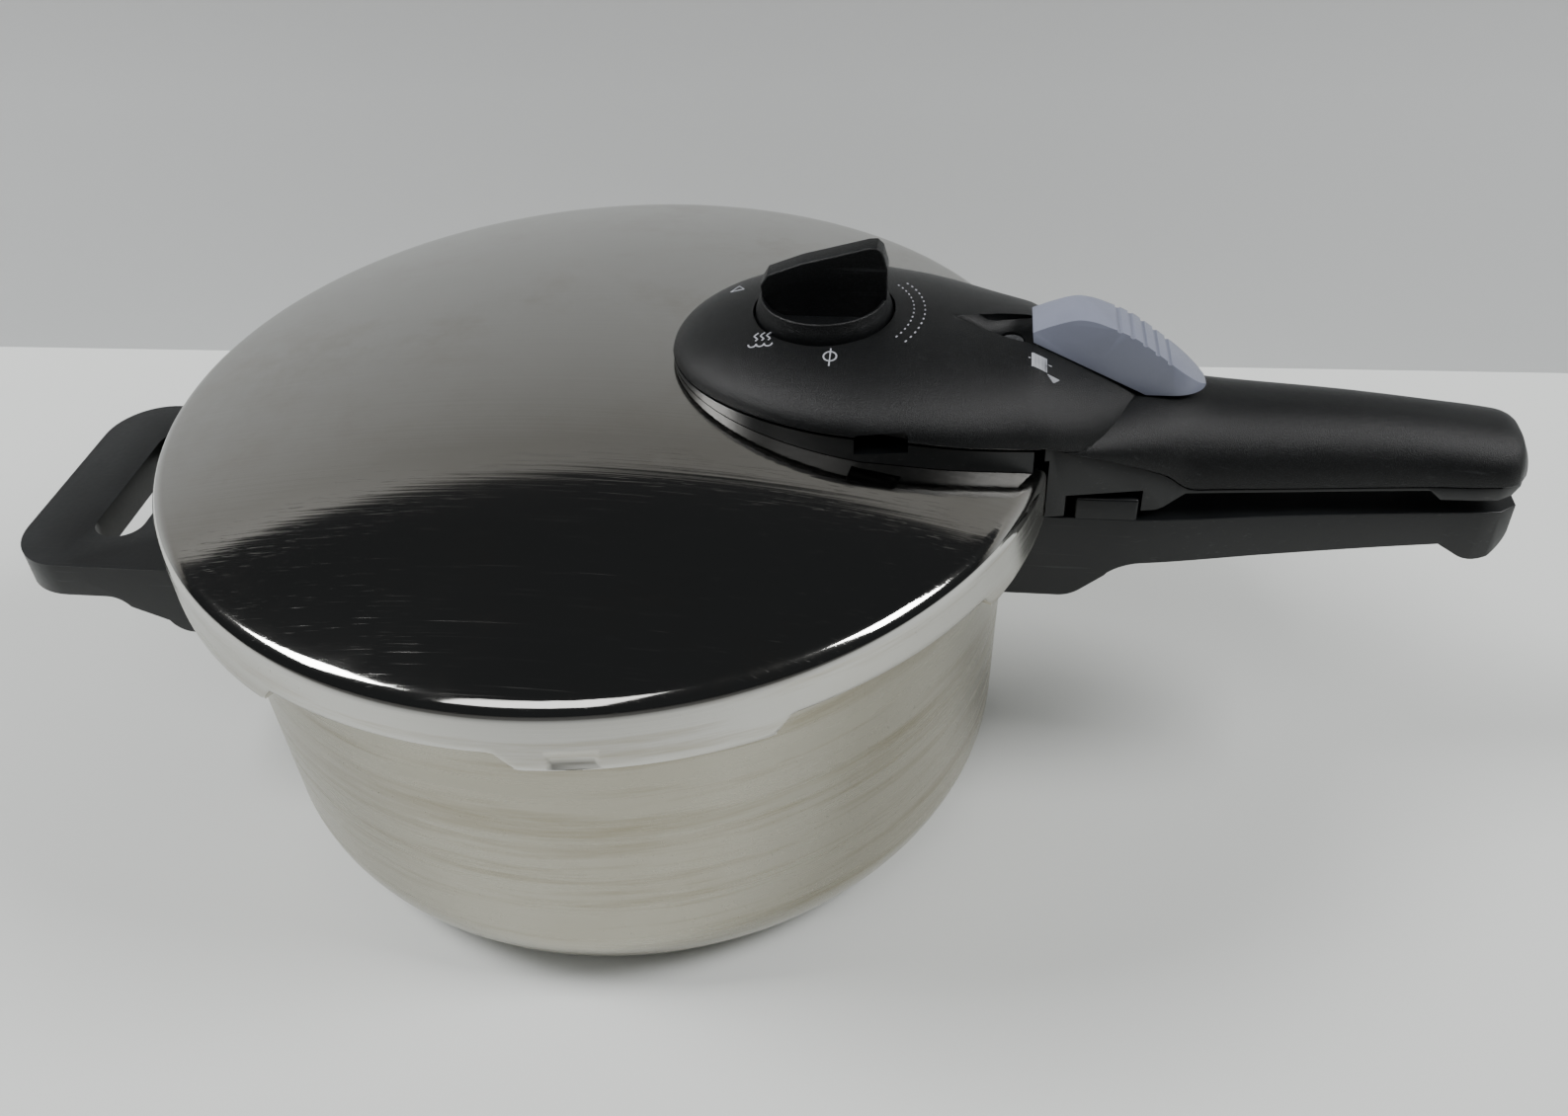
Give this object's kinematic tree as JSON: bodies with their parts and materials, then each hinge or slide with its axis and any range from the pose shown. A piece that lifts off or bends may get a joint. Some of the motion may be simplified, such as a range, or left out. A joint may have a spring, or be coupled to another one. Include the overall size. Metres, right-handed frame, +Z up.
{
  "type": "stovetop pressure cooker",
  "caption": "Steel stovetop pressure cooker with a domed bayonet lid, long twin grips, a side handle, a pressure selector and a sliding lid lock.",
  "frame": {"origin": "centre of the base on the hob", "axes": "+Z up the pot's axis, +X out along the long handles"},
  "size_m": [0.4082, 0.24, 0.1678],
  "materials": {
    "polished_steel": "mirror-polished dome with fine scratches",
    "satin_steel": "satin, brushed round the wall",
    "aluminium": "plain",
    "black_grained": "grained phenolic with a slight sparkle",
    "black_smooth": "smooth satin phenolic",
    "lavender_grey": "satin",
    "seal_rubber": "matte",
    "pin_grey": "smooth",
    "cam_white": "smooth",
    "brass": "turned",
    "hardware": "zinc plated"
  },
  "bodies": {
    "pot": {"pot_shell": "satin_steel", "base_core": "aluminium", "base_cap": "satin_steel", "pot_handle": "black_smooth", "pot_handle_tab": "black_smooth", "pot_handle_plate": "satin_steel", "pot_handle_screw": "hardware", "side_handle": "black_smooth", "side_handle_plate": "satin_steel", "side_handle_screws": "hardware"},
    "seal": {"gasket": "seal_rubber"},
    "lid": {"lid_shell": "polished_steel", "lid_clip": "satin_steel", "handle_base": "black_smooth", "handle_top": "black_grained", "handle_bracket": "black_smooth", "handle_screw": "hardware", "valve_housing": "hardware", "valve_washer": "seal_rubber", "valve_nut": "hardware", "valve_spring": "hardware", "indicator_seal": "seal_rubber", "relief_body": "brass", "relief_washer": "seal_rubber", "relief_nut": "brass", "relief_spring": "hardware"},
    "selector": {"selector_knob": "black_grained", "selector_ring": "hardware", "selector_cam": "cam_white"},
    "lock": {"slider": "lavender_grey", "lock_bolt": "hardware"},
    "indicator": {"indicator_pin": "pin_grey"},
    "valve": {"valve_plug": "brass"},
    "relief": {"relief_poppet": "hardware"}
  },
  "joints": [
    {"name": "lid_lift", "type": "slide", "parent": "pot", "child": "seal", "axis": [0, 0, 1], "range_m": [0, 0.12]},
    {"name": "lid_turn", "type": "hinge", "parent": "seal", "child": "lid", "pos_m": [0, 0, 0.11], "axis": [0, 0, 1], "range_deg": [0, 30]},
    {"name": "selector_turn", "type": "hinge", "parent": "lid", "child": "selector", "pos_m": [0.0596, 0, 0.15], "axis": [0, 0, 1], "range_deg": [0, 150]},
    {"name": "slider_slide", "type": "slide", "parent": "lid", "child": "lock", "axis": [-0.8944, 0, 0.4472], "range_m": [0, 0.008]},
    {"name": "indicator_rise", "type": "slide", "parent": "lid", "child": "indicator", "axis": [0, 0, 1], "range_m": [0, 0.004]},
    {"name": "valve_lift", "type": "slide", "parent": "lid", "child": "valve", "axis": [0, 0, 1], "range_m": [0, 0.0008], "stiffness_N_per_m": 500, "deforming": ["valve_spring"]},
    {"name": "relief_lift", "type": "slide", "parent": "lid", "child": "relief", "axis": [0, 0, 1], "range_m": [0, 0.002], "stiffness_N_per_m": 500, "deforming": ["relief_spring"]}
  ]
}
